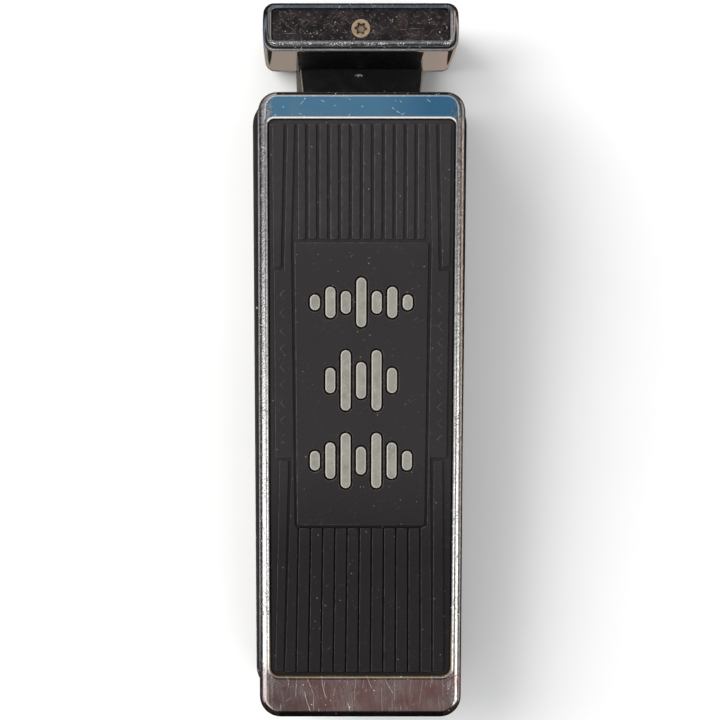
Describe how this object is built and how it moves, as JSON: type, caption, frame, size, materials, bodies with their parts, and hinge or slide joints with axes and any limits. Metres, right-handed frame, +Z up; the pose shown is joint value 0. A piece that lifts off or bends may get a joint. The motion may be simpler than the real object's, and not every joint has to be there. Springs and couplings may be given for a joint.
{
  "type": "guitar effects pedal",
  "caption": "Foot-operated tone-sweep pedal: a rocking chrome treadle with a ribbed rubber pad turns a control through a rack and pinion, over a black die-cast base with a toe footswitch.",
  "frame": {"origin": "centre of the footprint on the floor", "axes": "+Y toward the toe end, +X to the right when the toe end points away, +Z up"},
  "size_m": [0.0776, 0.254, 0.062],
  "materials": {
    "black_paint": "textured black enamel, scuffed",
    "plate_steel": "dull plated steel",
    "black_rubber": "moulded",
    "zinc_steel": "zinc plated",
    "chrome": "polished, worn and pitted",
    "black_plate": "scuffed and dusty",
    "aged_brass": "aged",
    "tread_rubber": "moulded, dusty",
    "satin_metal": "satin, scratched",
    "nylon": "natural",
    "dark_steel": "black oxide",
    "pot_shell": "plated",
    "switch_plastic": "moulded",
    "board": "solder mask",
    "red_plastic": "moulded",
    "black_plastic": "moulded",
    "blue_plastic": "sleeved",
    "tan_plastic": "lacquered",
    "battery_case": "printed metal case, plain",
    "foam": "open-cell foam",
    "wire_plastic": "insulated"
  },
  "bodies": {
    "base": {"base_housing": "black_paint", "bottom_plate": "plate_steel", "rubber_feet": "black_rubber", "foot_screws": "zinc_steel", "plate_screws": "zinc_steel", "nose_cap": "chrome", "nose_plate": "black_plate", "nose_screw": "aged_brass", "pivot_bushes": "nylon", "toe_bumpers": "black_rubber", "heel_bumpers": "black_rubber", "rack_guide": "nylon", "pressure_spring": "dark_steel", "pot_bracket": "plate_steel", "bracket_screws": "zinc_steel", "pot_body": "pot_shell", "pot_nut": "zinc_steel", "footswitch_body": "switch_plastic", "footswitch_washer": "zinc_steel", "footswitch_nut": "zinc_steel", "circuit_board": "board", "board_screws": "zinc_steel", "inductor": "red_plastic", "transistors": "black_plastic", "capacitors": "blue_plastic", "resistors": "tan_plastic", "battery": "battery_case", "battery_snap": "black_plastic", "battery_foam": "foam", "jack_bodies": "black_plastic", "jack_washers": "zinc_steel", "jack_nuts": "zinc_steel", "wiring": "wire_plastic"},
    "treadle": {"treadle_casting": "chrome", "tread_pad": "tread_rubber", "emblem_inlays": "satin_metal", "switch_pad": "black_rubber", "pivot_shaft": "zinc_steel", "pivot_set_screws": "dark_steel", "rack_pin": "zinc_steel", "rack_pin_clip": "dark_steel"},
    "rack": {"rack": "nylon"},
    "control_rotor": {"pot_shaft": "zinc_steel", "pinion": "nylon"},
    "plunger": {"footswitch_plunger": "zinc_steel"}
  },
  "joints": [
    {"name": "treadle_hinge", "type": "hinge", "parent": "base", "child": "treadle", "pos_m": [0, 0, 0.036], "axis": [1, 0, 0], "range_deg": [-10.5, 8.5]},
    {"name": "rack_slide", "type": "slide", "parent": "base", "child": "rack", "axis": [0, 0, 1], "range_m": [-0.0078, 0.0063]},
    {"name": "control_turn", "type": "hinge", "parent": "base", "child": "control_rotor", "pos_m": [0, 0.0342, 0.022], "axis": [1, 0, 0], "range_deg": [-92.5, 75]},
    {"name": "switch_press", "type": "slide", "parent": "base", "child": "plunger", "axis": [0, 0, 1], "range_m": [-0.003, 0]}
  ],
  "couplings": [
    {"joint": "rack_slide", "follows": "treadle_hinge", "m_per_rad": 0.042},
    {"joint": "control_turn", "follows": "treadle_hinge", "ratio": 8.75}
  ]
}
